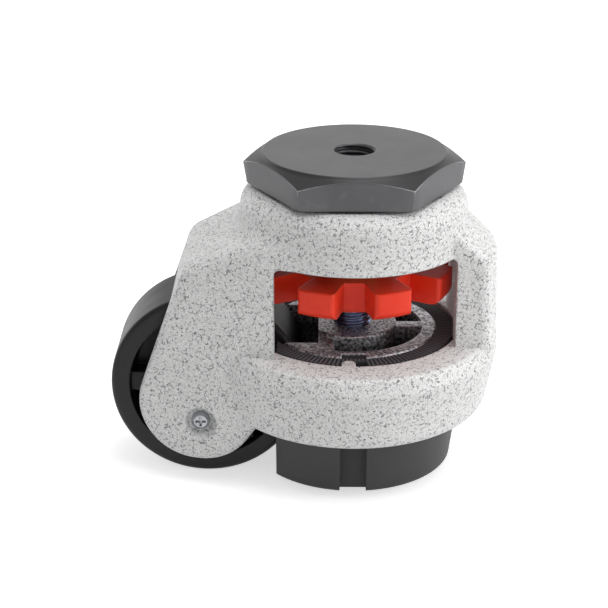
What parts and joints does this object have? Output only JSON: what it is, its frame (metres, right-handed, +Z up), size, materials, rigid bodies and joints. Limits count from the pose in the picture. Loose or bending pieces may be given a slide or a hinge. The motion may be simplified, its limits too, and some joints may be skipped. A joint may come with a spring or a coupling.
{
  "type": "levelling castor",
  "caption": "Swivelling castor with a cast housing, a black plastic wheel and a rubber foot that a red star-shaped thumb wheel lowers; hexagonal head with a tapped mounting hole.",
  "frame": {"origin": "centre of the tapped mounting hole, on the flat top of the hexagonal head", "axes": "+Z up along the mounting hole and the swivel axis, the wheel trails towards -X, the front window faces -Y"},
  "size_m": [0.1019, 0.0766, 0.0867],
  "materials": {
    "head_steel": "satin, dark phosphated steel",
    "race_steel": "ground",
    "ball_steel": "polished",
    "cage_plastic": "moulded",
    "seal_rubber": "matt",
    "zinc_steel": "zinc plated",
    "spring_steel": "phosphated",
    "housing_paint": "light grey powder coat with fine dark veins",
    "nut_brass": "machined",
    "red_plastic": "moulded, satin",
    "spindle_zinc": "dark zinc plated, threaded",
    "carrier_aluminium": "as cast",
    "foot_rubber": "matt",
    "wheel_nylon": "moulded, semi-gloss",
    "bush_plastic": "natural acetal",
    "screw_zinc": "bright zinc plated"
  },
  "bodies": {
    "mount": {"hex_mount": "head_steel", "dust_seal": "seal_rubber", "upper_race": "race_steel", "kingpin_washer": "zinc_steel", "kingpin_circlip": "spring_steel"},
    "housing": {"housing": "housing_paint", "lower_race": "race_steel", "swivel_balls": "ball_steel", "ball_cage": "cage_plastic", "thrust_plate": "zinc_steel", "plate_screws": "zinc_steel", "axle": "race_steel", "spacer_front": "bush_plastic", "spacer_back": "bush_plastic", "keeper_front": "zinc_steel", "keeper_back": "zinc_steel", "axle_screws": "screw_zinc"},
    "wheel": {"wheel": "wheel_nylon", "wheel_bush": "bush_plastic"},
    "star": {"thumb_wheel": "red_plastic", "adjusting_nut": "nut_brass", "nut_circlip": "spring_steel", "thrust_washer": "race_steel"},
    "pad": {"spindle": "spindle_zinc", "pad_carrier": "carrier_aluminium", "foot_pad": "foot_rubber", "foot_washer": "zinc_steel", "foot_nut": "zinc_steel"}
  },
  "joints": [
    {"name": "swivel", "type": "hinge", "parent": "mount", "child": "housing", "pos_m": [0, 0, 0], "axis": [0, 0, 1], "continuous": true},
    {"name": "wheel_spin", "type": "hinge", "parent": "housing", "child": "wheel", "pos_m": [-0.03835, 0, -0.0615], "axis": [0, 1, 0], "continuous": true},
    {"name": "star_turn", "type": "hinge", "parent": "housing", "child": "star", "pos_m": [0, 0, 0], "axis": [0, 0, 1], "range_deg": [0, 2880]},
    {"name": "pad_lift", "type": "slide", "parent": "housing", "child": "pad", "axis": [0, 0, -1], "range_m": [0, 0.012]}
  ],
  "couplings": [
    {"joint": "star_turn", "follows": "pad_lift", "rad_per_m": 4188.7}
  ]
}
